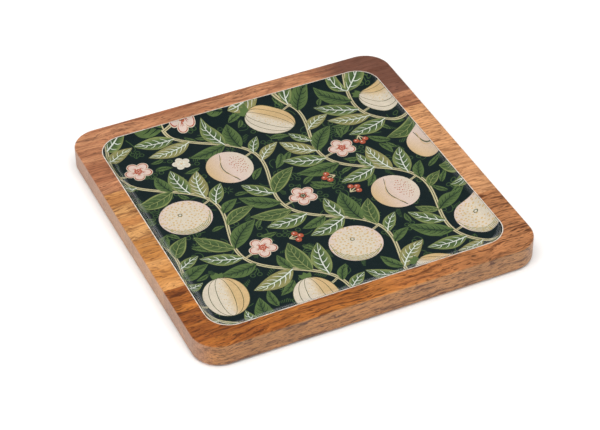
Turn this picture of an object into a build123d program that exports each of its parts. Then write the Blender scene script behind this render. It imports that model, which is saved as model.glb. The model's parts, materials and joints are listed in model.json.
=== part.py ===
"""Square serving tray: an edge-glued wooden board with a shallow lined recess.

The origin is at the middle of the underside. +Z is up, the grain runs along X, and -Y is the front.
All sizes are in millimetres.
"""

import math
import os

from build123d import *

os.makedirs("parts", exist_ok=True)

# The board
TRAY_LENGTH = 280.0  # along X, the way the grain runs
TRAY_WIDTH = 280.0  # along Y, across the staves
TRAY_THICKNESS = 20.0
TRAY_CORNER_RADIUS = 22.0
TOP_ARRIS_RADIUS = 1.0
BOTTOM_EDGE_RADIUS = 3.5

# The staves that the board is glued up from. The back stave takes the width that is left.
FRONT_STAVE_WIDTH = 73.0
MID_FRONT_STAVE_WIDTH = 62.0
MID_BACK_STAVE_WIDTH = 62.0

# The recess: a flat floor, and a cove that curves up from it to the lip
RIM_WIDTH = 17.5  # from the tray's side to the lip, on the top face
LIP_CORNER_RADIUS = 20.0
RECESS_DEPTH = 8.0
COVE_RADIUS = 14.5

# The layers that line the recess, each lying on the one before it
UNDERCOAT_THICKNESS = 0.6
PRINT_THICKNESS = 0.2
ENAMEL_THICKNESS = 0.5

# A cutting tool stands this much above the face that it opens
CUTTER_OVERRUN = 5.0

# How far the cove reaches in from the lip before it meets the flat floor
COVE_RISE = min(COVE_RADIUS, RECESS_DEPTH)
COVE_RUN = math.sqrt(COVE_RADIUS**2 - (COVE_RADIUS - COVE_RISE) ** 2)

RECESS_FLOOR_HEIGHT = TRAY_THICKNESS - RECESS_DEPTH


def recess_space(lining, top):
    """The space inside the recess, over a lining of this thickness and up to this height."""
    cove_radius = COVE_RADIUS - lining
    floor_height = RECESS_FLOOR_HEIGHT + lining
    wall_outset = cove_radius - COVE_RUN - RIM_WIDTH
    with BuildPart() as space:
        with BuildSketch(Plane.XY.offset(floor_height)):
            RectangleRounded(
                TRAY_LENGTH + 2 * wall_outset,
                TRAY_WIDTH + 2 * wall_outset,
                LIP_CORNER_RADIUS - COVE_RUN + cove_radius,
            )
        extrude(amount=max(cove_radius, RECESS_DEPTH) + CUTTER_OVERRUN)
        fillet(space.faces().sort_by(Axis.Z)[0].edges(), radius=cove_radius)
        split(bisect_by=Plane.XY.offset(top), keep=Keep.BOTTOM)
    return space.part


def lining_layer(under, thickness):
    """A dish of even thickness that lies on the layers under it and ends flush with the rim."""
    with BuildPart() as layer:
        add(recess_space(under, TRAY_THICKNESS))
        add(recess_space(under + thickness, TRAY_THICKNESS + CUTTER_OVERRUN), mode=Mode.SUBTRACT)
    return layer.part


# The outside of the glued-up board, with its rounded corners and eased edges
with BuildPart() as board:
    with BuildSketch():
        RectangleRounded(TRAY_LENGTH, TRAY_WIDTH, TRAY_CORNER_RADIUS)
    extrude(amount=TRAY_THICKNESS)
    fillet(board.faces().sort_by(Axis.Z)[-1].edges(), radius=TOP_ARRIS_RADIUS)
    fillet(board.faces().sort_by(Axis.Z)[0].edges(), radius=BOTTOM_EDGE_RADIUS)

# Each stave is a plank as long as the tray, shaped by the board's outside and by the recess
front_joint = FRONT_STAVE_WIDTH - TRAY_WIDTH / 2
middle_joint = front_joint + MID_FRONT_STAVE_WIDTH
back_joint = middle_joint + MID_BACK_STAVE_WIDTH
stave_edges = {
    "stave_front": (-TRAY_WIDTH / 2, front_joint),
    "stave_mid_front": (front_joint, middle_joint),
    "stave_mid_back": (middle_joint, back_joint),
    "stave_back": (back_joint, TRAY_WIDTH / 2),
}
milled_recess = recess_space(0, TRAY_THICKNESS + CUTTER_OVERRUN)
for stave_name, (front_edge, back_edge) in stave_edges.items():
    with BuildPart() as stave:
        with BuildSketch():
            with Locations((0, (front_edge + back_edge) / 2)):
                Rectangle(TRAY_LENGTH, back_edge - front_edge)
        extrude(amount=TRAY_THICKNESS)
        add(board.part, mode=Mode.INTERSECT)
        add(milled_recess, mode=Mode.SUBTRACT)
    stave.part.label = stave_name
    export_step(stave.part, f"parts/{stave_name}.step")

# The white coat that seals the wood, whose edge shows as a thin line at the lip
with BuildPart() as white_undercoat:
    add(lining_layer(0, UNDERCOAT_THICKNESS))
white_undercoat.part.label = "white_undercoat"
export_step(white_undercoat.part, "parts/white_undercoat.step")

# The sheet that carries the pattern
with BuildPart() as printed_sheet:
    add(lining_layer(UNDERCOAT_THICKNESS, PRINT_THICKNESS))
printed_sheet.part.label = "printed_sheet"
export_step(printed_sheet.part, "parts/printed_sheet.step")

# The clear top coat that things stand on
with BuildPart() as clear_enamel:
    add(lining_layer(UNDERCOAT_THICKNESS + PRINT_THICKNESS, ENAMEL_THICKNESS))
clear_enamel.part.label = "clear_enamel"
export_step(clear_enamel.part, "parts/clear_enamel.step")
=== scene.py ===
"""Looks of a square wooden serving tray with a printed and enamelled recess.

The file is laid out as an add-on and run as a script. Lengths are in metres, apart from the print's
design, which is drawn flat in millimetres and then laid on the recess.
"""

import json
import math
import random

import bmesh
import bpy
import numpy as np
from bpy.props import FloatProperty, FloatVectorProperty, IntProperty, PointerProperty
from mathutils import Matrix, Vector
from mathutils.geometry import delaunay_2d_cdt


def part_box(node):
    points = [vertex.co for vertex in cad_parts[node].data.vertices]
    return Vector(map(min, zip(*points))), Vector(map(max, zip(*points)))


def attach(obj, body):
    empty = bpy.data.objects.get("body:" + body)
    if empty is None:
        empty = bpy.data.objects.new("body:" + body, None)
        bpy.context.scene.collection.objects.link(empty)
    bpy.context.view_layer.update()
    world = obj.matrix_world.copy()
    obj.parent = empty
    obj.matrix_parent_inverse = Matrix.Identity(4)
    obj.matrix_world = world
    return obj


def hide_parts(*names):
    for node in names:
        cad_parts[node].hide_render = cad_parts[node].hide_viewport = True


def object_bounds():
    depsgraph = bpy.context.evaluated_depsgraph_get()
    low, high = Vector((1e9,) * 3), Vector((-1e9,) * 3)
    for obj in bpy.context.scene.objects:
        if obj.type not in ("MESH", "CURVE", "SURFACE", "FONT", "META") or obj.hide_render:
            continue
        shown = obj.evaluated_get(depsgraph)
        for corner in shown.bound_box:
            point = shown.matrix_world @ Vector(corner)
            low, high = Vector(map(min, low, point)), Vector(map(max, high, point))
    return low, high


bl_info = {
    "name": "Lined Wooden Serving Tray",
    "version": (1, 0, 0),
    "blender": (4, 5, 0),
    "location": "View3D > Sidebar > Tray",
    "description": "Finishes a stave-built serving tray with oiled wood, a botanical print and clear enamel",
    "category": "Add Mesh",
}

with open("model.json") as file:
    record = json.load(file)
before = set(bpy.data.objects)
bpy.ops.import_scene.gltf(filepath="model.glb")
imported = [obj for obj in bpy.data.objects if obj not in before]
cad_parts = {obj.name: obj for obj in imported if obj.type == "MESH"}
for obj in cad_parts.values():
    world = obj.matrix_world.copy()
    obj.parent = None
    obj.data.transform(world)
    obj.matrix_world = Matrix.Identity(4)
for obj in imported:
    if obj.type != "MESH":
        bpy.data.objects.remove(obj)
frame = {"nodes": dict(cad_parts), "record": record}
cad_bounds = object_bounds()

MM = 0.001
STAVES = ("stave_front", "stave_mid_front", "stave_mid_back", "stave_back")
RIM_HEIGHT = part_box("stave_front")[1].z
MOUNTS = {mount["name"]: mount for mount in frame["record"]["mounts"]}
SERVING_HEIGHT = MOUNTS["serving_surface"]["pos_m"][2]
SIDE_STEP = 20 * MM  # between points along the straight sides of the lining
FLOOR_HALF = 1.8  # half the side of the studio floor
ENAMEL_GAP = 0.06 * MM  # keeps the enamel's underside and the print from crossing


def linear(hex_colour):
    """A written sRGB colour as the linear numbers that shaders use."""
    channels = [int(hex_colour[i : i + 2], 16) / 255 for i in (1, 3, 5)]
    return tuple(c / 12.92 if c <= 0.04045 else ((c + 0.055) / 1.055) ** 2.4 for c in channels)


def colour(name, hex_colour, description):
    """A colour that a user can change."""
    return FloatVectorProperty(
        name=name, description=description, default=linear(hex_colour), subtype="COLOR", size=3, min=0, max=1
    )


def length(name, metres, description):
    """A length that a user can change."""
    return FloatProperty(
        name=name, description=description, default=metres, min=0, unit="LENGTH", precision=5
    )


def place_along(name, metres, description):
    """A place on an axis, which may be negative."""
    return FloatProperty(name=name, description=description, default=metres, unit="LENGTH", precision=4)


# ---------------------------------------------------------------------------------------------------
# Settings
# ---------------------------------------------------------------------------------------------------


class TrayWoodSettings(bpy.types.PropertyGroup):
    """Tones of one stave."""

    light: colour("Light", "#c98c4c", "Early wood and golden streaks")
    middle: colour("Middle", "#b4753a", "The stave's main tone")
    dark: colour("Dark", "#7f4a26", "Late wood and dark streaks")
    # Painted light: a lighter, greyer tone on the long sides that stands in for the pale floor's light on
    # them
    side: colour("Side", "#956e43", "Tone that the planed long sides tend to")
    end_grain: colour("End grain", "#98735a", "Tone that the sawn ends tend to")
    pore: colour("Pore", "#4c2a17", "Open pores and short flecks")
    pore_share: FloatProperty(
        name="Pores", description="How many of the pores show", default=0.6, min=0, max=1, subtype="FACTOR"
    )
    figure: FloatProperty(
        name="Figure", description="Strength of the dark streaks", default=0.5, min=0, max=1, subtype="FACTOR"
    )
    heartwood: colour("Heartwood", "#9c6038", "Tone of the heartwood at the right end")
    heart_start: place_along("Heartwood start", 1.0, "Where the heartwood begins, along the grain")
    heart_full: place_along("Heartwood full", 2.0, "Where it covers the wood fully, along the grain")
    heart_side: place_along("Heartwood side", -1.0, "Its front edge, across the grain")
    seed: FloatProperty(name="Seed", description="Moves the stave to another part of the log", default=0.0)


class TrayInkSettings(bpy.types.PropertyGroup):
    """Inks of the printed sheet."""

    ground: colour("Ground", "#0c1a1b", "Dark blue-green ground")
    line: colour("Line", "#3f5530", "Faint line work on the ground")
    leaf_dark: colour("Leaf shade", "#35482a", "Leaves beside their midrib")
    leaf: colour("Leaf", "#526539", "Leaves")
    leaf_edge: colour("Leaf edge", "#7d8450", "Yellow-green edges of the leaves")
    leaf_gold: colour("Young leaf", "#858050", "Small yellow leaves")
    vein: colour("Vein", "#cccec3", "White veins and petals")
    stem: colour("Stem", "#bbaf8b", "Stems and twigs")
    stem_line: colour("Stem line", "#444a29", "Line work on the stems and the fruit")
    cream: colour("Cream", "#c8bba8", "Skin of the pale fruit")
    ochre: colour("Ochre", "#c1a376", "Stipple and ribs of the fruit")
    red: colour("Red", "#a34e35", "Petal edges and berries")
    blush: colour("Blush", "#cbb5a9", "Petals and fruit flesh")


class TrayLiningSettings(bpy.types.PropertyGroup):
    """Shape and finish of the lining."""

    cove_radius: length("Cove radius", 0.0145, "Radius of the wooden cove under the lining")
    lip_corner_radius: length("Lip corner radius", 0.020, "Radius of the wooden lip's corners")
    cove_steps: IntProperty(name="Cove steps", description="Strips that round the cove", default=12, min=3)
    corner_steps: IntProperty(name="Corner steps", description="Steps round each corner", default=20, min=4)
    undercoat: colour("Undercoat", "#cfc9bf", "White coat at the lip")
    enamel_roughness: FloatProperty(
        name="Enamel roughness", description="Blur of its reflections", default=0.07, min=0, max=1
    )
    enamel_ior: FloatProperty(
        name="Enamel IOR", description="Strength of its reflections", default=1.46, min=1
    )


class TrayStageSettings(bpy.types.PropertyGroup):
    """Camera and studio."""

    azimuth: FloatProperty(name="Azimuth", description="Camera's turn", default=-0.4309, subtype="ANGLE")
    elevation: FloatProperty(name="Elevation", description="Camera's height", default=0.6931, subtype="ANGLE")
    roll: FloatProperty(name="Roll", description="Camera's tilt", default=0.0105, subtype="ANGLE")
    distance: length("Distance", 1.556, "From the camera to the point that it aims at")
    aim_right: FloatProperty(
        name="Aim right", description="Aim, right of the rim's middle", default=0.00185, unit="LENGTH"
    )
    aim_up: FloatProperty(
        name="Aim up", description="Aim, above the rim's middle", default=-0.02089, unit="LENGTH"
    )
    lens: FloatProperty(name="Lens", description="Focal length in millimetres", default=119.8, min=1)
    floor: colour("Floor", "#f4f3f1", "Pale floor")


class TraySettings(bpy.types.PropertyGroup):
    """Everything that a user can change."""

    stave_front: PointerProperty(type=TrayWoodSettings)
    stave_mid_front: PointerProperty(type=TrayWoodSettings)
    stave_mid_back: PointerProperty(type=TrayWoodSettings)
    stave_back: PointerProperty(type=TrayWoodSettings)
    inks: PointerProperty(type=TrayInkSettings)
    lining: PointerProperty(type=TrayLiningSettings)
    stage: PointerProperty(type=TrayStageSettings)


# ---------------------------------------------------------------------------------------------------
# Node trees
# ---------------------------------------------------------------------------------------------------


class NodeTree:
    """Adds nodes to a tree. An input is a socket to link or a value to set."""

    def __init__(self, tree):
        self.tree = tree

    def node(self, kind, inputs=None, **settings):
        made = self.tree.nodes.new(kind)
        for name, value in settings.items():
            setattr(made, name, value)
        for name, value in (inputs or {}).items():
            if isinstance(value, bpy.types.NodeSocket):
                self.tree.links.new(value, made.inputs[name])
            else:
                made.inputs[name].default_value = value
        return made

    def math(self, operation, first, second=0.0):
        return self.node("ShaderNodeMath", {0: first, 1: second}, operation=operation).outputs[0]

    def vector(self, operation, first, second=(0, 0, 0)):
        return self.node("ShaderNodeVectorMath", {0: first, 1: second}, operation=operation).outputs["Vector"]

    def parts(self, vector):
        return self.node("ShaderNodeSeparateXYZ", {0: vector}).outputs

    def joined(self, x, y, z):
        return self.node("ShaderNodeCombineXYZ", {0: x, 1: y, 2: z}).outputs[0]


class Shader(NodeTree):
    """A material whose node tree is built a node at a time."""

    def __init__(self, name):
        self.material = bpy.data.materials.new(name)
        self.material.use_nodes = True
        super().__init__(self.material.node_tree)
        self.tree.nodes.clear()

    def millimetres(self):
        """Places on the piece, in millimetres."""
        place = self.node("ShaderNodeTexCoord").outputs["Object"]
        return self.vector("MULTIPLY", place, (1 / MM,) * 3)

    def noise(self, place, size, detail=2.0, roughness=0.5):
        """Cloudy noise from 0 to 1 whose cells have this size along each axis."""
        cells = self.vector("DIVIDE", place, size)
        return self.node(
            "ShaderNodeTexNoise", {"Vector": cells, "Scale": 1.0, "Detail": detail, "Roughness": roughness}
        ).outputs["Fac"]

    def fade(self, value, start, end, low=0.0, high=1.0):
        """low up to start, high from end on, and a smooth change between them."""
        inputs = {"Value": value, "From Min": start, "From Max": end, "To Min": low, "To Max": high}
        return self.node("ShaderNodeMapRange", inputs, interpolation_type="SMOOTHSTEP").outputs[0]

    def mix(self, factor, first, second, blend="MIX"):
        inputs = {0: factor, 6: self.rgba(first), 7: self.rgba(second)}
        return self.node("ShaderNodeMix", inputs, data_type="RGBA", blend_type=blend).outputs[2]

    def rgba(self, value):
        return value if isinstance(value, bpy.types.NodeSocket) else (*value[:3], 1.0)

    def bump(self, height, distance, strength=1.0):
        inputs = {"Height": height, "Distance": distance, "Strength": strength}
        return self.node("ShaderNodeBump", inputs).outputs[0]

    def surface(self, shader):
        self.node("ShaderNodeOutputMaterial", {"Surface": shader})
        return self.material


def flecks(shader, place, size, width, share):
    """Slim marks scattered one to a cell: 1 on a mark. share is how many of the cells have one."""
    cells = shader.vector("DIVIDE", place, size)
    found = shader.node("ShaderNodeTexVoronoi", {"Vector": cells, "Scale": 1.0}, feature="F1")
    near = shader.fade(found.outputs["Distance"], width * 0.6, width * 1.15, 1.0, 0.0)
    chosen = shader.math("LESS_THAN", shader.parts(found.outputs["Color"])[0], share)
    return shader.math("MULTIPLY", near, chosen)


# ---------------------------------------------------------------------------------------------------
# Materials
# ---------------------------------------------------------------------------------------------------


def wood_material(stave, tones):
    """Oiled hardwood with its grain along X, worked out in the solid so that it runs over the edges."""
    shader = Shader(f"{stave}_wood")
    low, high = (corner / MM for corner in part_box(stave))
    own_place = shader.millimetres()
    place = shader.vector("ADD", own_place, (tones.seed * 371.0, tones.seed * 53.0, tones.seed * 97.0))

    # The grain wanders: in long waves, and in curls a few centimetres long
    sway = shader.math("SUBTRACT", shader.noise(place, (85, 26, 26), 2.0), 0.5)
    curl_shift = shader.math("SUBTRACT", shader.noise(place, (20, 11, 11), 2.0), 0.5)
    shift = shader.math("ADD", shader.math("MULTIPLY", sway, 16.0), shader.math("MULTIPLY", curl_shift, 7.0))
    grain = shader.vector("ADD", place, shader.joined(0.0, shift, shader.math("MULTIPLY", shift, 0.5)))

    # Broad bands, then streaks, then short fibres, each finer than the last
    band = shader.noise(grain, (190, 13, 13), 3.0, 0.6)
    streak = shader.noise(grain, (30, 2.3, 2.3), 3.0, 0.6)
    fibre = shader.noise(grain, (8.5, 0.95, 0.95), 2.0, 0.6)
    hair = shader.noise(grain, (6.0, 0.4, 0.4), 2.0, 0.6)
    cloud = shader.noise(place, (24, 30, 24), 2.0)
    tone = shader.mix(shader.fade(band, 0.36, 0.60), tones.light, tones.middle)

    # Heartwood, whose edge runs with the grain
    along, across = shader.parts(own_place)[:2]
    ragged = shader.math("MULTIPLY", shader.math("SUBTRACT", shader.noise(grain, (60, 9, 9), 3.0), 0.5), 60.0)
    heart_along = shader.fade(
        shader.math("ADD", along, ragged), tones.heart_start / MM, tones.heart_full / MM
    )
    heart_side = tones.heart_side / MM
    heart_across = shader.fade(shader.math("ADD", across, shift), heart_side - 2.5, heart_side + 2.5)
    tone = shader.mix(shader.math("MULTIPLY", heart_along, heart_across), tone, tones.heartwood)

    # The sawn ends take the finish differently from the top. The long sides get painted light: a lighter,
    # greyer tone that stands in for the pale floor's light on them
    facing = shader.vector("ABSOLUTE", shader.node("ShaderNodeNewGeometry").outputs["Normal"])
    end_share = shader.fade(shader.parts(facing)[0], 0.45, 0.95)
    # Painted light on the long sides, strongest where a face looks straight to the front or back
    lit_side_share = shader.fade(shader.parts(facing)[1], 0.45, 0.95)
    tone = shader.mix(shader.math("MULTIPLY", end_share, 0.75), tone, tones.end_grain)
    tone = shader.mix(shader.math("MULTIPLY", lit_side_share, 0.60), tone, tones.side)
    plainness = shader.math("SUBTRACT", 1.0, shader.math("MULTIPLY", end_share, 0.62))

    # Dark streaks and golden ones, and the fibres within them
    dark_streaks = shader.math("MULTIPLY", shader.fade(streak, 0.50, 0.66), tones.figure)
    tone = shader.mix(shader.math("MULTIPLY", dark_streaks, plainness), tone, tones.dark)
    short_streaks = shader.math("MULTIPLY", shader.fade(fibre, 0.54, 0.68), 0.25 + 0.75 * tones.figure)
    tone = shader.mix(shader.math("MULTIPLY", short_streaks, plainness), tone, tones.dark)
    shades = ((streak, 0.30, 0.55, 1.20, 1.0), (fibre, 0.32, 0.52, 1.16, 1.0), (hair, 0.3, 0.7, 1.10, 0.88),
              (cloud, 0.3, 0.7, 0.90, 1.10))
    for pattern, start, end, low_value, high_value in shades:
        value = shader.fade(pattern, start, end, low_value, high_value)
        tone = shader.mix(1.0, tone, shader.joined(value, value, value), "MULTIPLY")

    # Open pores and longer flecks, dark and slightly sunk
    pores = flecks(shader, grain, (6.0, 1.5, 1.5), 0.25, tones.pore_share)
    marks = flecks(shader, grain, (14.0, 2.7, 2.7), 0.19, tones.pore_share * 0.8)
    open_grain = shader.math(
        "MAXIMUM", shader.math("MULTIPLY", pores, 0.62), shader.math("MULTIPLY", marks, 0.72)
    )
    open_grain = shader.math("MULTIPLY", open_grain, plainness)
    tone = shader.mix(open_grain, tone, tones.pore)

    # A dark hairline of glue where this stave meets the next one
    for edge in (low.y, high.y):
        if abs(edge) < cad_bounds[1].y / MM - 1:
            gap = shader.math("ABSOLUTE", shader.math("SUBTRACT", across, edge))
            tone = shader.mix(shader.fade(gap, 0.05, 0.22, 0.55, 0.0), tone, tones.pore)

    relief = shader.math("SUBTRACT", shader.math("MULTIPLY", hair, 0.35), open_grain)
    dull_pores = shader.math("MULTIPLY", open_grain, 0.2)
    roughness = shader.math("ADD", shader.fade(hair, 0.2, 0.8, 0.38, 0.48), dull_pores)
    principled = shader.node(
        "ShaderNodeBsdfPrincipled",
        {"Base Color": tone, "Roughness": roughness, "Normal": shader.bump(relief, 0.00010, 0.7)},
    )
    return shader.surface(principled.outputs[0])


def undercoat_material(lining):
    """White lacquer, thin enough at the lip for the wood to tint it here and there."""
    shader = Shader("white_undercoat_lacquer")
    place = shader.millimetres()
    thin = shader.fade(shader.noise(place, (3.2, 3.2, 3.2), 3.0), 0.45, 0.70, 0.0, 0.65)
    tone = shader.mix(thin, lining.undercoat, linear("#a98563"))
    grit = shader.noise(place, (0.7, 0.7, 0.7))
    principled = shader.node(
        "ShaderNodeBsdfPrincipled",
        {
            "Base Color": tone,
            "Roughness": shader.fade(grit, 0.2, 0.8, 0.28, 0.45),
            "Normal": shader.bump(grit, 0.00004),
        },
    )
    return shader.surface(principled.outputs[0])


def print_material():
    """The inks of the sheet. Their attribute's alpha says how unevenly an ink lies."""
    shader = Shader("printed_sheet_inks")
    place = shader.millimetres()
    ink = shader.node("ShaderNodeAttribute", attribute_name="ink")
    wash = shader.noise(place, (3.4, 3.4, 3.4), 3.0, 0.6)
    grain = shader.noise(place, (0.45, 0.45, 0.45), 2.0, 0.7)
    uneven = shader.math("MULTIPLY", ink.outputs["Alpha"], shader.math("SUBTRACT", wash, 0.5))
    value = shader.math("ADD", 1.0, shader.math("MULTIPLY", uneven, 1.5))
    value = shader.math("MULTIPLY", value, shader.fade(grain, 0.2, 0.8, 0.88, 1.12))
    tone = shader.mix(1.0, ink.outputs["Color"], shader.joined(value, value, value), "MULTIPLY")
    principled = shader.node(
        "ShaderNodeBsdfPrincipled",
        {
            "Base Color": tone,
            "Roughness": shader.fade(grain, 0.2, 0.8, 0.55, 0.7),
            "Specular IOR Level": 0.2,
            "Normal": shader.bump(grain, 0.00002, 0.5),
        },
    )
    return shader.surface(principled.outputs[0])


def enamel_material(lining):
    """A clear coat: see-through, with the gentle waves of a brushed and self-levelled gloss."""
    shader = Shader("clear_enamel_gloss")
    place = shader.millimetres()
    swell = shader.noise(place, (22, 22, 22), 2.0)
    ripple = shader.noise(place, (3.0, 3.0, 3.0), 1.0)
    level = shader.math("ADD", swell, shader.math("MULTIPLY", ripple, 0.04))
    normal = shader.bump(level, 0.0003, 0.6)
    mirrored = shader.node("ShaderNodeFresnel", {"IOR": lining.enamel_ior, "Normal": normal}).outputs[0]
    outside = shader.math("SUBTRACT", 1.0, shader.node("ShaderNodeNewGeometry").outputs["Backfacing"])
    mirrored = shader.math("MULTIPLY", mirrored, outside)
    gloss = shader.node(
        "ShaderNodeBsdfGlossy",
        {"Color": (1.0, 1.0, 1.0, 1.0), "Roughness": lining.enamel_roughness, "Normal": normal},
    )
    clear = shader.node("ShaderNodeBsdfTransparent", {"Color": (0.985, 0.99, 0.99, 1.0)})
    shown = shader.node("ShaderNodeMixShader", {0: mirrored, 1: clear.outputs[0], 2: gloss.outputs[0]})
    return shader.surface(shown.outputs[0])


def floor_material(stage):
    """Matt pale board, very slightly mottled."""
    shader = Shader("pale_floor")
    cloud = shader.noise(shader.millimetres(), (60, 60, 60), 3.0)
    value = shader.fade(cloud, 0.2, 0.8, 0.985, 1.0)
    tone = shader.mix(1.0, stage.floor, shader.joined(value, value, value), "MULTIPLY")
    principled = shader.node("ShaderNodeBsdfPrincipled", {"Base Color": tone, "Roughness": 0.8})
    return shader.surface(principled.outputs[0])


# ---------------------------------------------------------------------------------------------------
# The recess
# ---------------------------------------------------------------------------------------------------


class Dish:
    """The recess at one depth into its lining: a flat floor with a cove up to the rim."""

    def __init__(self, lining_settings, floor_height):
        wood_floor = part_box("white_undercoat")[0].z
        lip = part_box("white_undercoat")[1]
        self.centre_height = wood_floor + lining_settings.cove_radius
        self.radius = self.centre_height - floor_height
        self.floor_height = floor_height
        rise = self.centre_height - RIM_HEIGHT
        wood_run = math.sqrt(lining_settings.cove_radius**2 - rise**2)
        self.floor_half = (lip.x - wood_run, lip.y - wood_run)
        self.floor_corner = lining_settings.lip_corner_radius - wood_run
        self.run = math.sqrt(self.radius**2 - rise**2)

    def outline(self, outset, corner_steps, side_step):
        """The floor's outline moved out by outset, from corner to corner, with points along its sides."""
        radius = self.floor_corner + outset
        centre_x, centre_y = (half - self.floor_corner for half in self.floor_half)
        points = []
        for quarter, (sign_x, sign_y) in enumerate(((1, 1), (-1, 1), (-1, -1), (1, -1))):
            for step in range(corner_steps + 1):
                angle = math.radians(90 * (quarter + step / corner_steps))
                reach_x, reach_y = radius * math.cos(angle), radius * math.sin(angle)
                points.append((sign_x * centre_x + reach_x, sign_y * centre_y + reach_y))
            next_x, next_y = ((-1, 1), (-1, -1), (1, -1), (1, 1))[quarter]
            side = 2 * (centre_x if quarter % 2 == 0 else centre_y)
            count = max(1, round(side / side_step))
            start = np.array(points[-1])
            turn = math.radians(90 * (quarter + 1))
            end = np.array(
                (next_x * centre_x + radius * math.cos(turn), next_y * centre_y + radius * math.sin(turn))
            )
            points.extend(tuple(start + (end - start) * step / count) for step in range(1, count))
        return np.array(points)

    def height(self, x, y):
        """The surface's height over places on the plan, as arrays."""
        over_x = np.maximum(np.abs(x) - (self.floor_half[0] - self.floor_corner), 0)
        over_y = np.maximum(np.abs(y) - (self.floor_half[1] - self.floor_corner), 0)
        out = np.clip(np.hypot(over_x, over_y) - self.floor_corner, 0, self.run)
        return self.centre_height - np.sqrt(self.radius**2 - out**2)


# ---------------------------------------------------------------------------------------------------
# Drawing the print: flat shapes, in millimetres on the plan
# ---------------------------------------------------------------------------------------------------


def smooth_line(points, steps=6):
    """A rounded line through the points."""
    given = np.asarray(points, float)
    padded = np.vstack([2 * given[0] - given[1], given, 2 * given[-1] - given[-2]])
    found = []
    for before, start, end, after in zip(padded, padded[1:], padded[2:], padded[3:]):
        for t in np.arange(steps) / steps:
            found.append(
                0.5 * (2 * start + (end - before) * t + (2 * before - 5 * start + 4 * end - after) * t**2
                       + (3 * start - before - 3 * end + after) * t**3)
            )
    return np.vstack([found, given[-1]])


def turned(angle):
    """Unit direction at this angle in degrees."""
    return np.array((math.cos(math.radians(angle)), math.sin(math.radians(angle))))


def round_outline(centre, radius_x, radius_y, angle=0.0, sides=40, bumps=0, depth=0.0):
    """An ellipse, turned by angle, whose edge swells and pulls in bumps times."""
    turns = np.linspace(0, 2 * math.pi, sides, endpoint=False)
    swell = 1 + depth * np.cos(bumps * turns)
    along, across = turned(angle), turned(angle + 90)
    reach_x = radius_x * swell * np.cos(turns)
    reach_y = radius_y * swell * np.sin(turns)
    return np.asarray(centre) + np.outer(reach_x, along) + np.outer(reach_y, across)


class Drawing:
    """Shapes in the order that they are printed: a later one covers an earlier one."""

    def __init__(self, inks, seed):
        self.inks = inks
        self.shapes = []
        self.random = random.Random(seed)

    def fill(self, outline, *inks, tint=None, uneven=0.0):
        """A filled shape. tint gives 0 to 1 for an array of places, and the inks blend along it."""
        outline = np.asarray(outline, float)
        following = np.roll(outline, -1, axis=0)
        turning = np.sum(outline[:, 0] * following[:, 1] - following[:, 0] * outline[:, 1])
        colours = np.array([self.inks[ink] for ink in inks])
        self.shapes.append((outline if turning > 0 else outline[::-1], colours, tint, uneven))

    def shaded_round(self, centre, radius_x, radius_y, angle, *inks, tint, uneven=0.1):
        """A round shape laid in rings, so that its inks blend smoothly."""
        for share in (1.0, 0.82, 0.64, 0.46, 0.28):
            outline = round_outline(centre, radius_x * share, radius_y * share, angle)
            self.fill(outline, *inks, tint=tint, uneven=uneven)

    def line(self, points, width, ink, end_width=None, steps=6):
        """A stroke of the brush along a rounded line, cut where it could run over itself."""
        path = smooth_line(points, steps)
        forward = np.gradient(path, axis=0)
        forward /= np.maximum(np.linalg.norm(forward, axis=1, keepdims=True), 1e-9)
        side = np.stack([-forward[:, 1], forward[:, 0]], 1)
        end_width = width if end_width is None else end_width
        shares = np.linspace(0, 1, len(path))
        half = np.interp(shares, (0, 0.4, 1), (width, width, end_width))[:, None] / 2
        left, right = path + side * half, path - side * half
        chunk = 5
        for first in range(0, len(path) - 1, chunk):
            last = min(first + chunk, len(path) - 1) + 1
            self.fill(np.vstack([right[first:last], left[first:last][::-1]]), ink)

    def dot(self, centre, radius, ink, sides=7):
        self.fill(round_outline(centre, radius, radius, sides=sides), ink)

    def ring(self, centre, radius, width, ink, turn=360.0, start=0.0):
        angles = np.linspace(start, start + turn, max(5, round(turn / 45)))
        self.line([centre + radius * turned(angle) for angle in angles], width, ink, steps=3)


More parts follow.
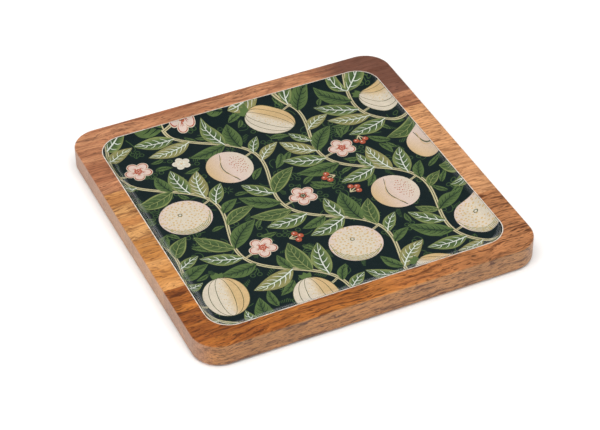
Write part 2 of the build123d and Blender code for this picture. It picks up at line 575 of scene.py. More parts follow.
class Leaf:
    """Places on a leaf: u runs from 0 at the stalk to 1 at the tip, v from -1 to 1 across it."""

    def __init__(self, base, tip, width, bend=0.0):
        self.base = np.asarray(base, float)
        reach = np.asarray(tip, float) - self.base
        self.length = float(np.linalg.norm(reach))
        self.along = reach / self.length
        self.across = np.array((-self.along[1], self.along[0]))
        self.width, self.bend = width, bend

    def half_width(self, u):
        full = np.sin(math.pi * np.clip(u, 0, 1) ** 0.85) ** 0.9
        return self.width / 2 * full

    def sag(self, u):
        return self.bend * self.length * 4 * u * (1 - u)

    def place(self, u, v):
        u, v = np.broadcast_arrays(np.asarray(u, float), np.asarray(v, float))
        out = (self.sag(u) + v * self.half_width(u))[..., None]
        return self.base + u[..., None] * self.length * self.along + out * self.across

    def spread(self, places):
        """How far places lie from the midrib: 0 on it and 1 at the leaf's edge."""
        reach = places - self.base
        u = reach @ self.along / self.length
        out = np.abs(reach @ self.across - self.sag(u))
        return np.clip(out / np.maximum(self.half_width(u), 0.3), 0, 1)

    def outline(self, share=1.0, start=0.0, end=1.0):
        u = start + (end - start) * (1 - np.cos(np.linspace(0, math.pi, 22))) / 2
        return np.vstack([self.place(u, -share), self.place(u, share)[::-1][1:-1]])

    def body(self, drawing, *inks, uneven=0.45):
        for share, start, end in ((1.0, 0.0, 1.0), (0.62, 0.05, 0.95)):
            drawing.fill(self.outline(share, start, end), *inks, tint=self.spread, uneven=uneven)

    def ribs(self, drawing, ink, weight=1.0, gap=7.4, reach=0.74):
        """A midrib with side ribs that curve towards the tip, all tapering away."""
        size = weight * (0.32 + 0.024 * self.width)
        drawing.line(self.place(np.linspace(0.0, 0.97, 7), 0.0), size * 1.45, ink, size * 0.4, steps=3)
        pairs = max(3, round(self.length * 0.8 / gap))
        rise = 0.52 * self.width / self.length
        for pair in range(pairs):
            for side, lag in ((1, 0.0), (-1, 0.4)):
                root = 0.09 + 0.76 * (pair + lag) / pairs
                us = root + rise * np.array((0.0, 0.28, 0.72))
                if us[-1] < 0.97:
                    rib = self.place(us, side * np.array((0.0, 0.42, reach)))
                    drawing.line(rib, size, ink, size * 0.3, 3)

    def hatch(self, drawing, ink, gap=3.4):
        """Short fine strokes that shade the leaf between its ribs."""
        for step in range(1, round(0.9 * self.length / gap)):
            for side in (-1, 1):
                near = drawing.random.uniform(0.15, 0.45)
                far = near + drawing.random.uniform(0.2, 0.4)
                u = (step + drawing.random.uniform(-0.3, 0.3)) * gap / self.length
                rise = 0.45 * (far - near) * self.width / self.length
                drawing.line([self.place(u, side * near), self.place(u + rise, side * far)], 0.5, ink, 0.2, 2)


def veined_leaf(drawing, base, tip, width):
    """A leaf with white ribs."""
    leaf = Leaf(base, tip, width, bend=0.06)
    leaf.body(drawing, "leaf_dark", "leaf", "leaf_edge")
    leaf.hatch(drawing, "leaf_dark")
    leaf.ribs(drawing, "vein")


def young_leaf(drawing, base, tip, width):
    """A paler, yellower leaf with white ribs."""
    leaf = Leaf(base, tip, width, bend=0.08)
    leaf.body(drawing, "leaf", "leaf_gold", "leaf_gold")
    leaf.ribs(drawing, "vein", gap=5.5)


def shaded_leaf(drawing, base, tip, width):
    """A leaf without white: dark ribs and shading on mid green."""
    leaf = Leaf(base, tip, width, bend=0.08)
    leaf.body(drawing, "leaf_dark", "leaf", "leaf")
    leaf.hatch(drawing, "line", 3.2)
    leaf.ribs(drawing, "ground", weight=0.8, gap=5.0, reach=0.75)


def bordered_leaf(drawing, base, tip, width):
    """A leaf with a light border and a plain midrib."""
    leaf = Leaf(base, tip, width, bend=0.08)
    drawing.fill(leaf.outline(), "leaf_edge", uneven=0.3)
    drawing.fill(leaf.outline(0.80, 0.03, 0.97), "leaf_dark", "leaf", tint=leaf.spread, uneven=0.45)
    leaf.ribs(drawing, "leaf_edge", weight=0.8, gap=6.5, reach=0.66)


def stem(drawing, points, width, end_width=None):
    """A twig: a pale stroke with a dark line inside it."""
    end_width = width * 0.6 if end_width is None else end_width
    drawing.line(points, width, "stem", end_width)
    if width > 1.2:
        drawing.line(points, width * 0.24, "stem_line", end_width * 0.2)
        drawing.dot(np.asarray(points[0]), width * 0.5, "stem")
        drawing.dot(np.asarray(points[0]), width * 0.25, "stem_line", 6)


def stipple(drawing, centre, radius_x, radius_y, angle, count, ink, size, inner=0.0, outer=1.0):
    """Dots scattered evenly over a ring of an ellipse."""
    along, across = turned(angle), turned(angle + 90)
    golden = math.pi * (3 - math.sqrt(5))
    for step in range(count):
        share = math.sqrt(inner**2 + (outer**2 - inner**2) * (step + 0.5) / count)
        share += drawing.random.uniform(-0.015, 0.015)
        turn = step * golden + drawing.random.uniform(-0.1, 0.1)
        place = centre + along * radius_x * share * math.cos(turn)
        place = place + across * radius_y * share * math.sin(turn)
        drawing.dot(place, size * drawing.random.uniform(0.75, 1.2), ink, sides=6)


def from_middle(centre, radius, power=1.0):
    """Tint that grows from the middle of a round shape to its edge."""
    return lambda at: np.clip(np.linalg.norm(at - centre, axis=1) / radius, 0, 1) ** power


def eye(drawing, centre, radius):
    """The dried flower end of a fruit."""
    drawing.ring(centre, radius, 0.7, "stem_line")
    drawing.dot(centre + turned(35) * radius * 0.4, radius * 0.4, "vein")


def pale_fruit(drawing, centre, radius, eye_angle=200):
    """A round pale fruit, freckled all over and shaded with arcs on one side."""
    centre = np.asarray(centre, float)
    drawing.shaded_round(centre, radius, radius * 0.97, 0, "cream", "cream", "blush",
                         tint=from_middle(centre, radius, 1.5))
    stipple(drawing, centre, radius, radius * 0.97, 0, 130, "ochre", 0.85, 0.14, 0.96)
    for share, turn in ((0.94, 170), (0.87, 135), (0.80, 100), (0.73, 66)):
        drawing.ring(centre, radius * share, 0.6, "leaf_edge", turn, eye_angle + 150 - turn / 2)
    eye(drawing, centre + turned(eye_angle) * radius * 0.25, 1.5)


def blushing_fruit(drawing, centre, radius, angle):
    """A plain round fruit with a seam, redder on one side."""
    centre = np.asarray(centre, float)
    along, across = turned(angle), turned(angle + 90)
    drawing.shaded_round(centre, radius * 1.04, radius * 0.96, angle, "cream", "blush", "ochre",
                         tint=lambda at: np.clip((at - centre) @ across / radius / 2 + 0.5, 0, 1))
    for shift, reach, width, ink in ((0.30, 0.94, 0.9, "stem_line"), (0.38, 0.80, 0.5, "ochre")):
        drawing.line([centre - along * radius * reach, centre + across * radius * shift,
                      centre + along * radius * reach], width, ink, 0.4)
    stipple(drawing, centre - across * radius * 0.42, radius * 0.62, radius * 0.34, angle, 46, "red", 0.5)


def ribbed_fruit(drawing, centre, radius, angle):
    """A long fruit with ribs from its stalk to its crown."""
    centre = np.asarray(centre, float)
    along, across = turned(angle), turned(angle + 90)
    for tooth in (-38, 0, 38):
        foot = centre + along * radius * 1.08
        sepal = Leaf(foot, foot + turned(angle + tooth) * radius * 0.40, radius * 0.24)
        drawing.fill(sepal.outline(), "leaf")
    middle_lobe = radius * 0.92 * 0.34
    for share in (1.0, 0.70, 0.34):
        half = radius * 0.92 * share
        drawing.fill(round_outline(centre, radius * 1.14, half, angle), "stem_line")
        for inset in (0.5, 0.5 + half * 0.25):
            lobe = round_outline(centre, radius * 1.14 - inset * 0.7, half - inset, angle)
            drawing.fill(lobe, "ochre", "cream", "cream", uneven=0.2,
                         tint=lambda at: np.clip((at - centre) @ across / middle_lobe / 2 + 0.5, 0, 1))
    stipple(drawing, centre, radius * 0.9, radius * 0.24, angle, 26, "ochre", 0.5)


def berries(drawing, foot, angle, reach):
    """Three berries on one stalk."""
    for lean, share in ((-34, 0.80), (0, 1.0), (34, 0.76)):
        tip = foot + turned(angle + lean) * reach * share
        drawing.line([foot, tip], 0.9, "stem", 0.7, 3)
        drawing.dot(tip, 2.5, "red", 12)
        drawing.dot(tip + turned(120) * 0.8, 0.7, "blush")


def five_petals(drawing, centre, radius, turn, edge_ink, petal_ink, heart_ink):
    """An open flower with five rounded petals, each with a crescent inside its edge."""
    centre = np.asarray(centre, float)
    for petal in range(5):
        angle = turn + 72 * petal
        middle = centre + turned(angle) * radius * 0.60
        for shift, reach, spread, ink in (
            (0.0, 0.42, 0.41, "cream"), (0.0, 0.36, 0.35, edge_ink), (-0.05, 0.335, 0.30, petal_ink),
        ):
            petal_middle = middle + turned(angle) * radius * shift
            outline = round_outline(petal_middle, radius * reach, radius * spread, angle, 20)
            drawing.fill(outline, ink, uneven=0.1)
        for lean in (-24, 0, 24):
            start = centre + turned(angle) * radius * 0.22
            drawing.line([start, start + turned(angle + lean) * radius * 0.30], 0.55, edge_ink, 0.2, 2)
    drawing.fill(round_outline(centre, radius * 0.27, radius * 0.27, 0, 20, 5, 0.14), edge_ink)
    drawing.fill(round_outline(centre, radius * 0.20, radius * 0.20, 36, 20, 5, 0.14), heart_ink)
    for step in range(6):
        drawing.dot(centre + turned(60 * step) * radius * 0.12, 0.45, petal_ink, 5)


# ---------------------------------------------------------------------------------------------------
# The print's design
# ---------------------------------------------------------------------------------------------------


DOODLE = 0.62  # width of the faint strokes


def curl(drawing, start, angle, reach, turn):
    """A tendril that winds up and ends in a small ring."""
    place, points = np.asarray(start, float), []
    for step in range(7):
        points.append(place)
        angle += turn * (0.4 + step * 0.25)
        place = place + turned(angle) * reach * (1 - 0.08 * step)
    drawing.line(points, DOODLE, "line", DOODLE * 0.8, 3)
    drawing.ring(place + turned(angle) * 1.8, 1.9, DOODLE, "line")


def spray(drawing, centre, angle, reach, arms):
    """A tuft of fine strokes."""
    for arm in range(arms):
        out = turned(angle + 360 * arm / arms)
        stroke = [centre + out * reach * 0.3, centre + out * reach]
        drawing.line(stroke, DOODLE * 1.4, "line", DOODLE * 0.6, 2)


def comb(drawing, start, angle, reach, teeth):
    """A row of slanting strokes beside one another."""
    step, tooth = turned(angle) * reach / teeth, turned(angle + 65) * 4.6
    for number in range(teeth):
        foot = start + step * number
        end = foot + tooth * (1 - abs(number - teeth / 2) / teeth)
        drawing.line([foot, end], DOODLE * 0.8, "line", DOODLE * 1.3, 2)


def ringlets(drawing, start, angle, reach):
    """Three small rings on branching stalks."""
    for lean, share in ((-38, 0.8), (0, 1.15), (38, 0.85)):
        end = start + turned(angle + lean) * reach * share
        middle = (start + end) / 2 + turned(angle + lean + 90) * 0.6
        drawing.line([start, middle, end], DOODLE, "line", DOODLE, 3)
        drawing.ring(end + turned(angle + lean) * 1.8, 1.8, DOODLE, "line")


def ground_work(drawing, half, gap):
    """Faint line work all over the ground, under everything else."""
    count = round(2 * half / gap)
    for row in range(count):
        for column in range(count):
            wander = drawing.random.uniform
            start = np.array((column + 0.5 + wander(-0.3, 0.3), row + 0.5 + wander(-0.3, 0.3))) * gap - half
            angle, choice = wander(0, 360), wander(0, 1)
            if choice < 0.40:
                reach, turn = wander(2.4, 3.2), wander(14, 26)
                curl(drawing, start, angle, reach, turn * (1 if wander(-1, 1) > 0 else -1))
            elif choice < 0.60:
                ringlets(drawing, start, angle, wander(4.5, 7.0))
            elif choice < 0.80:
                comb(drawing, start, angle, wander(8, 11), 6)
            elif choice < 0.93:
                spray(drawing, start, angle, wander(3.5, 5.0), 7)
            else:
                drawing.ring(start, wander(4.0, 5.5), DOODLE, "line", wander(200, 300), angle)


class Planting:
    """Finds room for the motifs, and keeps what to draw in each layer."""

    def __init__(self):
        self.taken = []
        self.layers = {name: [] for name in ("under", "stems", "leaves", "fruit")}

    def room(self, spots):
        """Whether none of these (place, radius) spots meets one that is taken."""
        return all(
            math.dist(place, other) >= radius + other_radius
            for place, radius in spots for other, other_radius in self.taken
        )

    def plant(self, layer, spots, motif, *values):
        self.taken.extend(spots)
        self.layers[layer].append((motif, values))

    def plant_leaf(self, layer, kind, base, angle, reach, share):
        """Plants the longest leaf that has room here, and says whether one had."""
        for size in (reach, reach * 0.84, reach * 0.70, reach * 0.58):
            width = size * share
            spots = [(base + turned(angle) * size * at, width * part)
                     for at, part in ((0.34, 0.40), (0.62, 0.44), (0.92, 0.18))]
            if self.room(spots):
                self.plant(layer, spots, kind, base, base + turned(angle) * size, width)
                return True
        return False

    def draw(self, drawing):
        for layer in self.layers.values():
            for motif, values in layer:
                motif(drawing, *values)


VINE_LEAN = 112  # direction that the vines climb in, in degrees
VINE_GAP = 66
VINE_SWING = 16
VINE_WAVE = 136  # length of one full swing
VINE_COUNT = 5
VINE_SHIFT = 50  # how far each vine's swing is ahead of the one before it, in degrees
VINE_WIDTH = 2.8
STALK = 7  # between a vine and what hangs from it
BLOSSOM_RADIUS = 11.5
LEAF_EVERY = 4  # places along the vine between leaves
FILL_GAP = 11.0  # between the spots where small motifs are tried
GROUND_GAP = 17.5  # between the faint strokes on the ground
LEAVES = (veined_leaf, shaded_leaf, veined_leaf, bordered_leaf, shaded_leaf, veined_leaf, young_leaf)
FRUIT = ((pale_fruit, 21), (blushing_fruit, 19.5), (ribbed_fruit, 19))


def vine(offset, phase, half):
    """Places along a stem that swings from side to side, its headings and the swing at each place."""
    reach = np.arange(-1.6 * half, 1.6 * half, 3.0)
    turn = 2 * math.pi * reach / VINE_WAVE + phase
    swing = np.sin(turn)
    sideways = np.outer(offset + VINE_SWING * swing, turned(VINE_LEAN + 90))
    places = np.outer(reach, turned(VINE_LEAN)) + sideways
    forward = np.gradient(places, axis=0)
    return places, np.degrees(np.arctan2(forward[:, 1], forward[:, 0])), swing


def botanical_design(inks, half):
    """A repeat of swinging vines that bear fruit, blossoms and leaves, on a dark ground."""
    drawing = Drawing(inks, seed=11)
    planting = Planting()
    ground_work(drawing, half, GROUND_GAP)
    vary = drawing.random.uniform
    vines = [
        vine((number - VINE_COUNT // 2) * VINE_GAP, math.radians(VINE_SHIFT * number), half)
        for number in range(VINE_COUNT)
    ]
    for places, _, _ in vines:
        planting.plant("stems", [(place, 1.5) for place in places], stem, places[::2], VINE_WIDTH, VINE_WIDTH)

    # A fruit or a blossom hangs inside each bend
    bend = fruit = 0
    for number, (places, headings, swing) in enumerate(vines):
        for at in range(1, len(places) - 1):
            if abs(swing[at]) < max(abs(swing[at - 1]), abs(swing[at + 1])):
                continue
            bend += 1
            inward = turned(headings[at] + (-90 if swing[at] > 0 else 90))
            if bend % 5 in (0, 2):
                reach, kind = BLOSSOM_RADIUS, five_petals
                values = (vary(0, 72), "red", "blush", "red" if number % 2 else "leaf_dark")
            else:
                kind, reach = FRUIT[(fruit + 2 * number) % len(FRUIT)]
                fruit += 1
                values = (headings[at] + vary(-30, 30),)
            centre = places[at] + inward * (reach + STALK)
            planting.plant("fruit", [(centre, reach * 1.06)], kind, centre, reach, *values)
            foot = places[at] + (places[at] - places[at - 1]) * 0.5
            planting.layers["stems"].append((stem, ((foot, foot * 0.4 + centre * 0.6, centre), 1.8)))

    # Leaves grow from the vines on both sides, and the longest that fits is kept
    for places, headings, _ in vines:
        for count, at in enumerate(range(2, len(places) - 2, LEAF_EVERY)):
            for side in (1, -1):
                kind = LEAVES[(count + 2 * (side > 0)) % len(LEAVES)]
                for lean in (46, 64, 30):
                    angle = headings[at] + side * (lean + vary(-6, 6))
                    if planting.plant_leaf("leaves", kind, places[at], angle, vary(32, 38), vary(0.38, 0.46)):
                        break

    # Small blossoms, berries and dark leaves fill what is left
    steps = np.arange(-half, half, FILL_GAP)
    spots = [np.array((x, y)) for x in steps for y in steps]
    drawing.random.shuffle(spots)
    for spot in spots:
        turn = vary(0, 360)
        if planting.room([(spot, 9.0)]):
            planting.plant("fruit", [(spot, 8.0)], five_petals, spot, 7.5, turn, "vein", "cream", "ochre")
        elif planting.room([(spot, 6.5)]):
            planting.plant("fruit", [(spot, 6.0)], berries, spot - turned(turn) * 5, turn, 9.0)
        else:
            planting.plant_leaf("under", shaded_leaf, spot, turn, 20.0, 0.36)
    planting.draw(drawing)
    return drawing


# ---------------------------------------------------------------------------------------------------
# Meshes
# ---------------------------------------------------------------------------------------------------


def add_piece(name, mesh, material):
    """A piece of the object from a mesh that is already in place."""
    piece = bpy.data.objects.new(name, mesh)
    bpy.context.scene.collection.objects.link(piece)
    mesh.materials.clear()
    mesh.materials.append(material)
    return piece


def cut_up(outlines):
    """Triangles of all the outlines laid over each other, and the number of the topmost outline on each."""
    corners, faces = [], []
    for outline in outlines:
        faces.append(list(range(len(corners), len(corners) + len(outline))))
        corners.extend(Vector(corner) for corner in outline)
    places, _, triangles, _, _, covering = delaunay_2d_cdt(corners, [], faces, 1, 1e-5, True)
    kept = [number for number, over in enumerate(covering) if 0 in over]
    return (
        np.array([tuple(place) for place in places]),
        np.array([triangles[number] for number in kept]),
        np.array([max(covering[number]) for number in kept]),
    )


def edge_loop(triangles):
    """The vertices of a sheet's one edge, in order, with the sheet on the left."""
    sides = {(int(a), int(b)) for t in triangles for a, b in ((t[0], t[1]), (t[1], t[2]), (t[2], t[0]))}
    following = {a: b for a, b in sides if (b, a) not in sides}
    loop = [next(iter(following))]
    while following[loop[-1]] != loop[0]:
        loop.append(following[loop[-1]])
    return loop


def shape_colours(drawing, places, triangles, topmost, first_shape):
    """Each triangle corner's ink, with how unevenly it lies as the fourth number."""
    colours = np.empty((len(triangles), 3, 4))
    colours[:] = (*drawing.inks["ground"], 0.15)
    order = np.argsort(topmost, kind="stable")
    starts = np.searchsorted(topmost[order], np.arange(first_shape, first_shape + len(drawing.shapes) + 1))
    for number, (_, inks, tint, uneven) in enumerate(drawing.shapes):
        chosen = order[starts[number] : starts[number + 1]]
        if not len(chosen):
            continue
        corners = places[triangles[chosen]].reshape(-1, 2)
        share = tint(corners) if tint else np.zeros(len(corners))
        stops = np.linspace(0, 1, len(inks)) if len(inks) > 1 else np.zeros(1)
        blended = np.stack([np.interp(share, stops, inks[:, channel]) for channel in range(3)], 1)
        colours[chosen, :, :3] = blended.reshape(-1, 3, 3)
        colours[chosen, :, 3] = uneven
    return colours


def printed_sheet_mesh(drawing, top, bottom, lining):
    """A thin closed sheet laid in the recess, cut along the edge of every printed shape."""
    steps = lining.cove_steps
    steepest = math.asin(top.run / top.radius)
    outsets = [top.radius * math.sin(steepest * step / steps) for step in range(steps, -1, -1)]
    loops = [top.outline(outset, lining.corner_steps, SIDE_STEP) / MM for outset in outsets]
    outlines = loops + [outline for outline, _, _, _ in drawing.shapes]
    places, triangles, topmost = cut_up(outlines)
    colours = shape_colours(drawing, places, triangles, topmost, len(loops))
    used, triangles = np.unique(triangles, return_inverse=True)
    triangles = triangles.reshape(-1, 3)
    places = places[used]

    # The underside meets the same edge, moved out to where its own cove reaches the rim
    edge = np.array(edge_loop(triangles))
    centre = np.array(top.floor_half) - top.floor_corner
    out = places[edge] * MM
    out -= np.clip(out, -centre, centre)
    out /= np.linalg.norm(out, axis=1, keepdims=True)
    edge_below = places[edge] + out * (bottom.run - top.run) / MM
    loops_below = [bottom.outline(outset, lining.corner_steps, SIDE_STEP) / MM for outset in outsets[1:]]
    places_below, triangles_below, _ = cut_up([edge_below] + loops_below)
    nearest = [int(np.argmin(np.sum((places_below - corner) ** 2, axis=1))) for corner in edge_below]
    offset = len(places)
    following = np.roll(np.arange(len(edge)), -1)
    strip = [
        (edge[i], offset + nearest[i], offset + nearest[j], edge[j]) for i, j in enumerate(following)
    ]

    heights = top.height(*(places.T * MM))
    heights_below = bottom.height(*(places_below.T * MM))
    vertices = np.vstack([
        np.column_stack([places * MM, heights]),
        np.column_stack([places_below * MM, heights_below]),
    ])
    faces = [tuple(t) for t in triangles] + [tuple(t[::-1] + offset) for t in triangles_below] + strip
    mesh = bpy.data.meshes.new("printed_sheet_inks")
    mesh.from_pydata([tuple(v) for v in vertices], [], [tuple(int(i) for i in face) for face in faces])

    # Colours by corner, and a map on which the printed side has nearly all the room
    corner_count = len(mesh.loops)
    corner_colours = np.empty((corner_count, 4))
    corner_colours[:] = (*drawing.inks["ground"], 0.0)
    corner_colours[: 3 * len(triangles)] = colours.reshape(-1, 4)
    inked = mesh.color_attributes.new("ink", "FLOAT_COLOR", "CORNER")
    inked.data.foreach_set("color", corner_colours.ravel())
    corner_vertices = np.empty(corner_count, dtype=np.int32)
    mesh.loops.foreach_get("vertex_index", corner_vertices)
    spots = vertices[corner_vertices, :2] / (2 * np.abs(vertices[:, :2]).max()) + 0.5
    spots[: 3 * len(triangles)] *= 0.96
    spots[3 * len(triangles) :] = 0.975 + 0.02 * spots[3 * len(triangles) :]
    mesh.uv_layers.new(name="OFBake").uv.foreach_set("vector", spots.astype(np.float32).ravel())
    return mesh


def group_input(tree, name, kind, value=None):
    """Adds a named input to a Geometry Nodes tree."""
    socket = tree.interface.new_socket(name, in_out="INPUT", socket_type=kind)
    if value is not None:
        socket.default_value = value
    return socket


def coved_dish_tree():
    """Geometry Nodes that sweep a cove's section round a rounded floor and close both floors."""
    tree = bpy.data.node_groups.new("coved_dish", "GeometryNodeTree")
    tree.interface.new_socket("Geometry", in_out="OUTPUT", socket_type="NodeSocketGeometry")
    group_input(tree, "Floor Length", "NodeSocketFloat", 0.2)
    group_input(tree, "Floor Width", "NodeSocketFloat", 0.2)
    group_input(tree, "Floor Corner", "NodeSocketFloat", 0.005)
    group_input(tree, "Flat Edge", "NodeSocketFloat", 0.002)
    group_input(tree, "Floor Height", "NodeSocketFloat", 0.0)
    group_input(tree, "Under Radius", "NodeSocketFloat", 0.0135)
    group_input(tree, "Thickness", "NodeSocketFloat", 0.0005)
    group_input(tree, "Depth", "NodeSocketFloat", 0.007)
    group_input(tree, "Cove Steps", "NodeSocketInt", 12)
    group_input(tree, "Corner Steps", "NodeSocketInt", 16)
    group_input(tree, "Material", "NodeSocketMaterial")
    nodes = NodeTree(tree)
    given = nodes.node("NodeGroupInput").outputs

    # The path is the flat floor's edge, a little inside the foot of the cove
    length_in = nodes.math("SUBTRACT", given["Floor Length"], nodes.math("MULTIPLY", given["Flat Edge"], 2.0))
    width_in = nodes.math("SUBTRACT", given["Floor Width"], nodes.math("MULTIPLY", given["Flat Edge"], 2.0))
    rectangle = nodes.node(
        "GeometryNodeCurvePrimitiveQuadrilateral", {"Width": length_in, "Height": width_in}, mode="RECTANGLE"
    )
    corner = nodes.math("SUBTRACT", given["Floor Corner"], given["Flat Edge"])
    path = nodes.node(
        "GeometryNodeFilletCurve",
        {"Curve": rectangle.outputs[0], "Count": given["Corner Steps"], "Radius": corner},
        mode="POLY",
    ).outputs[0]

    # The section runs up the top of the cove, over the lip and back down its underside
    last_point = nodes.math("ADD", nodes.math("MULTIPLY", given["Cove Steps"], 2.0), 3.0)
    line = nodes.node("GeometryNodeCurvePrimitiveLine", {"End": (1.0, 0.0, 0.0)})
    section_line = nodes.node(
        "GeometryNodeResampleCurve", {"Curve": line.outputs[0], "Count": nodes.math("ADD", last_point, 1.0)}
    )
    index = nodes.node("GeometryNodeInputIndex").outputs[0]
    climb = nodes.math("MINIMUM", index, nodes.math("SUBTRACT", last_point, index))
    under = nodes.math("GREATER_THAN", index, nodes.math("MULTIPLY", last_point, 0.5))
    step = nodes.math("MAXIMUM", nodes.math("SUBTRACT", climb, 1.0), 0.0)
    inner_radius = nodes.math("SUBTRACT", given["Under Radius"], given["Thickness"])
    radius = nodes.math("ADD", inner_radius, nodes.math("MULTIPLY", given["Thickness"], under))
    rise_left = nodes.math("SUBTRACT", given["Under Radius"], given["Depth"])
    steepest = nodes.math("ARCCOSINE", nodes.math("DIVIDE", rise_left, radius))
    angle = nodes.math("DIVIDE", nodes.math("MULTIPLY", steepest, step), given["Cove Steps"])
    sweep = nodes.math("MULTIPLY", radius, nodes.math("SINE", angle))
    off_path = nodes.math("GREATER_THAN", climb, 0.5)
    out = nodes.math("ADD", sweep, nodes.math("MULTIPLY", given["Flat Edge"], off_path))
    hanging = nodes.math("MULTIPLY", radius, nodes.math("COSINE", angle))
    down = nodes.math("SUBTRACT", hanging, given["Under Radius"])
    section = nodes.node(
        "GeometryNodeSetPosition",
        {"Geometry": section_line.outputs[0], "Position": nodes.joined(out, down, 0.0)},
    )
    cove = nodes.node("GeometryNodeCurveToMesh", {"Curve": path, "Profile Curve": section.outputs[0]})

    # Both flat floors
    floor = nodes.node("GeometryNodeFillCurve", {"Curve": path}, mode="NGONS")
    raised = nodes.node(
        "GeometryNodeTransform",
        {"Geometry": floor.outputs[0], "Translation": nodes.joined(0.0, 0.0, given["Thickness"])},
    )
    underside = nodes.node("GeometryNodeFlipFaces", {"Mesh": floor.outputs[0]})
    joined = nodes.node("GeometryNodeJoinGeometry")
    for part in (cove, raised, underside):
        tree.links.new(part.outputs[0], joined.inputs[0])
    welded = nodes.node("GeometryNodeMergeByDistance", {"Geometry": joined.outputs[0], "Distance": 0.00001})
    placed = nodes.node(
        "GeometryNodeTransform",
        {"Geometry": welded.outputs[0], "Translation": nodes.joined(0.0, 0.0, given["Floor Height"])},
    )
    smooth = nodes.node("GeometryNodeSetShadeSmooth", {"Geometry": placed.outputs[0]})
    bend = nodes.node("GeometryNodeInputMeshEdgeAngle").outputs["Unsigned Angle"]
    sharp = nodes.math("GREATER_THAN", bend, math.radians(40))
    creased = nodes.node(
        "GeometryNodeSetShadeSmooth",
        {"Geometry": smooth.outputs[0], "Selection": sharp, "Shade Smooth": False},
        domain="EDGE",
    )
    real = nodes.node("GeometryNodeRealizeInstances", {"Geometry": creased.outputs[0]})
    worn = nodes.node("GeometryNodeSetMaterial", {"Geometry": real.outputs[0], "Material": given["Material"]})
    nodes.node("NodeGroupOutput", {0: worn.outputs[0]})
    return tree


def grown_mesh(name, tree, values):
    """Runs a Geometry Nodes tree with these inputs and returns what it makes as a plain mesh."""
    seed = bpy.data.objects.new(f"{name}_seed", bpy.data.meshes.new(f"{name}_seed"))
    bpy.context.scene.collection.objects.link(seed)
    grower = seed.modifiers.new("grow", "NODES")
    grower.node_group = tree
    for item in tree.interface.items_tree:
        if item.in_out == "INPUT" and item.name in values:
            grower[item.identifier] = values[item.name]
    evaluated = seed.evaluated_get(bpy.context.evaluated_depsgraph_get())
    mesh = bpy.data.meshes.new_from_object(evaluated)
    seed.modifiers.remove(grower)
    bpy.data.objects.remove(seed)
    if not mesh.polygons:
        raise RuntimeError(f"{name}: its node tree made no faces")
    mesh.name = name
    return mesh


# ---------------------------------------------------------------------------------------------------
# Operators
# ---------------------------------------------------------------------------------------------------


class TRAY_OT_finish_staves(bpy.types.Operator):
    """Oil the four glued-up staves, each with its own grain"""

    bl_idname = "tray.finish_staves"
    bl_label = "Finish Staves"
    bl_options = {"REGISTER", "UNDO"}

    def execute(self, context):
        for stave in STAVES:
            mesh = frame["nodes"][stave].data
            mesh.materials.clear()
            mesh.materials.append(wood_material(stave, getattr(context.scene.tray, stave)))
        return {"FINISHED"}


class TRAY_OT_coat_recess(bpy.types.Operator):
    """Give the recess its white coat, whose edge shows at the lip"""

    bl_idname = "tray.coat_recess"
    bl_label = "Coat Recess"
    bl_options = {"REGISTER", "UNDO"}

    def execute(self, context):
        mesh = frame["nodes"]["white_undercoat"].data
        mesh.materials.clear()
        mesh.materials.append(undercoat_material(context.scene.tray.lining))
        return {"FINISHED"}


class TRAY_OT_lay_print(bpy.types.Operator):
    """Draw the botanical pattern and lay its sheet in the recess"""

    bl_idname = "tray.lay_print"
    bl_label = "Lay Print"
    bl_options = {"REGISTER", "UNDO"}

    def execute(self, context):
        tray = context.scene.tray
        inks = {name: tuple(getattr(tray.inks, name)) for name in TrayInkSettings.__annotations__}
        under_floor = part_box("printed_sheet")[0].z
        top_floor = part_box("clear_enamel")[0].z
        top, bottom = Dish(tray.lining, top_floor), Dish(tray.lining, under_floor)
        drawing = botanical_design(inks, (top.floor_half[0] + top.run) / MM)
        mesh = printed_sheet_mesh(drawing, top, bottom, tray.lining)
        sheet = add_piece("botanical_print", mesh, print_material())
        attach(sheet, "root")
        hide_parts("printed_sheet")
        return {"FINISHED"}


class TRAY_OT_pour_enamel(bpy.types.Operator):
    """Cover the print with clear enamel"""

    bl_idname = "tray.pour_enamel"
    bl_label = "Pour Enamel"
    bl_options = {"REGISTER", "UNDO"}

    def execute(self, context):
        lining = context.scene.tray.lining
        under = Dish(lining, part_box("clear_enamel")[0].z + ENAMEL_GAP)
        mesh = grown_mesh(
            "enamel_coat",
            coved_dish_tree(),
            {
                "Floor Length": under.floor_half[0] * 2,
                "Floor Width": under.floor_half[1] * 2,
                "Floor Corner": under.floor_corner,
                "Flat Edge": under.floor_corner * 0.3,
                "Floor Height": under.floor_height,
                "Under Radius": under.radius,
                "Thickness": SERVING_HEIGHT - under.floor_height,
                "Depth": RIM_HEIGHT - under.floor_height,
                "Cove Steps": lining.cove_steps,
                "Corner Steps": lining.corner_steps,
            },
        )
        coat = add_piece("enamel_coat", mesh, enamel_material(lining))
        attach(coat, "root")
        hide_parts("clear_enamel")
        return {"FINISHED"}


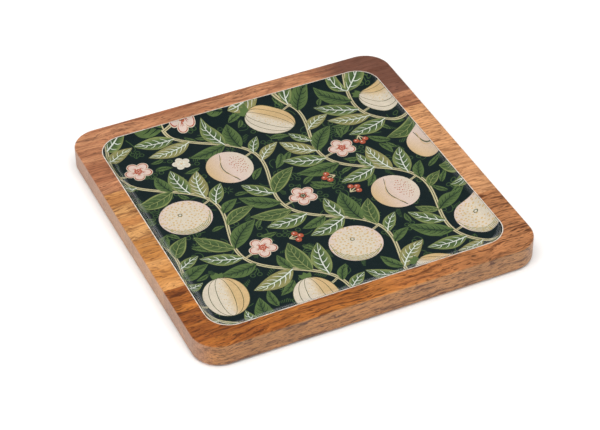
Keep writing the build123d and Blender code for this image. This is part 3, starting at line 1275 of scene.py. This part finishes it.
class TRAY_OT_set_stage(bpy.types.Operator):
    """Set a pale floor, soft studio light and the camera"""

    bl_idname = "tray.set_stage"
    bl_label = "Set Stage"
    bl_options = {"REGISTER", "UNDO"}

    def execute(self, context):
        stage = context.scene.tray.stage
        self.lay_floor(context, stage)
        self.light(context)
        self.place_camera(context, stage)
        context.scene.view_settings.view_transform = "Standard"
        return {"FINISHED"}

    def lay_floor(self, context, stage):
        shape = bmesh.new()
        bmesh.ops.create_grid(shape, x_segments=4, y_segments=4, size=FLOOR_HALF)
        bmesh.ops.translate(shape, verts=shape.verts, vec=(0, 0, cad_bounds[0].z - 0.0002))
        mesh = bpy.data.meshes.new("pale_floor")
        shape.to_mesh(mesh)
        shape.free()
        add_piece("pale_floor", mesh, floor_material(stage))

    def light(self, context):
        world = bpy.data.worlds.new("studio")
        context.scene.world = world
        world.use_nodes = True
        nodes = NodeTree(world.node_tree)
        nodes.tree.nodes.clear()
        height = nodes.parts(nodes.node("ShaderNodeTexCoord").outputs["Generated"])[2]
        sky = nodes.node("ShaderNodeValToRGB", {0: height})
        ramp = sky.color_ramp
        ramp.elements[0].position, ramp.elements[0].color = 0.10, (0.95, 0.97, 1.0, 1)
        ramp.elements[1].position, ramp.elements[1].color = 0.40, (0.10, 0.105, 0.11, 1)
        background = nodes.node("ShaderNodeBackground", {"Color": sky.outputs[0], "Strength": 1.0})
        nodes.node("ShaderNodeOutputWorld", {"Surface": background.outputs[0]})
        for name, place, size, power in (
            ("overhead_softbox", (-0.15, -0.25, 1.6), 2.4, 48.0),
            ("left_softbox", (-1.7, -0.5, 1.1), 1.0, 10.0),
            ("front_softbox", (0.4, -1.9, 1.2), 1.0, 8.0),
        ):
            lamp = bpy.data.lights.new(name, "AREA")
            lamp.energy, lamp.shape, lamp.size = power, "SQUARE", size
            holder = bpy.data.objects.new(name, lamp)
            holder.location = place
            holder.rotation_euler = (-Vector(place)).to_track_quat("-Z", "Y").to_euler()
            holder.visible_glossy = False
            context.scene.collection.objects.link(holder)

    def place_camera(self, context, stage):
        turn = Matrix.Rotation(stage.azimuth, 3, "Z") @ Matrix.Rotation(math.pi / 2 - stage.elevation, 3, "X")
        turn = turn @ Matrix.Rotation(-stage.roll, 3, "Z")
        right, up, back = turn.col[0], turn.col[1], turn.col[2]
        aim = Vector((0, 0, RIM_HEIGHT)) + right * stage.aim_right + up * stage.aim_up
        camera = bpy.data.cameras.new("camera")
        camera.lens = stage.lens
        camera.clip_start = 0.05
        holder = bpy.data.objects.new("camera", camera)
        holder.matrix_world = Matrix.Translation(aim + back * stage.distance) @ turn.to_4x4()
        context.scene.collection.objects.link(holder)
        context.scene.camera = holder


class VIEW3D_PT_tray(bpy.types.Panel):
    """The tray's sizes, colours and making steps"""

    bl_label = "Serving Tray"
    bl_idname = "VIEW3D_PT_tray"
    bl_space_type = "VIEW_3D"
    bl_region_type = "UI"
    bl_category = "Tray"

    def draw(self, context):
        tray = context.scene.tray
        for step in STEPS:
            self.layout.operator(step.bl_idname)
        for name in TraySettings.__annotations__:
            box = self.layout.box()
            box.label(text=name.replace("_", " ").capitalize())
            settings = getattr(tray, name)
            for setting in type(settings).__annotations__:
                box.prop(settings, setting)


STEPS = (
    TRAY_OT_finish_staves,
    TRAY_OT_coat_recess,
    TRAY_OT_lay_print,
    TRAY_OT_pour_enamel,
    TRAY_OT_set_stage,
)
CLASSES = (
    TrayWoodSettings,
    TrayInkSettings,
    TrayLiningSettings,
    TrayStageSettings,
    TraySettings,
    *STEPS,
    VIEW3D_PT_tray,
)


def register():
    for cls in CLASSES:
        bpy.utils.register_class(cls)
    bpy.types.Scene.tray = PointerProperty(type=TraySettings)


def unregister():
    del bpy.types.Scene.tray
    for cls in reversed(CLASSES):
        bpy.utils.unregister_class(cls)


def tune_staves(tray):
    """The tones and the place in the log that make each stave differ from its neighbours."""
    tones = {
        "stave_front": {
            "light": "#a7662a", "middle": "#80461c", "dark": "#48210d", "pore": "#38200f",
            "heartwood": "#a16b43", "heart_start": -0.03, "heart_full": 0.13,
            "pore_share": 0.9, "figure": 0.85, "seed": 1.3,
        },
        "stave_mid_front": {
            "light": "#be8952", "middle": "#ab7239", "dark": "#734727",
            "figure": 0.50, "heartwood": "#b8855c", "heart_start": 0.0, "heart_full": 0.16, "seed": 2.1,
        },
        "stave_mid_back": {
            "light": "#c08d56", "middle": "#a66f3e", "dark": "#683d20",
            "figure": 0.62, "heartwood": "#bb875c", "heart_start": 0.0, "heart_full": 0.16, "seed": 3.7,
        },
        "stave_back": {
            "light": "#af7a56", "middle": "#925d3f", "dark": "#5c3423", "pore": "#3b2117",
            "heartwood": "#6a4435", "heart_start": 0.070, "heart_full": 0.105, "heart_side": 0.080,
            "pore_share": 0.55, "figure": 0.55, "seed": 5.2,
        },
    }
    for stave, values in tones.items():
        settings = getattr(tray, stave)
        for name, value in values.items():
            setattr(settings, name, linear(value) if isinstance(value, str) else value)


def main():
    register()
    tune_staves(bpy.context.scene.tray)
    bpy.ops.tray.finish_staves()
    bpy.ops.tray.coat_recess()
    bpy.ops.tray.lay_print()
    bpy.ops.tray.pour_enamel()
    bpy.ops.tray.set_stage()


if __name__ == "__main__":
    main()
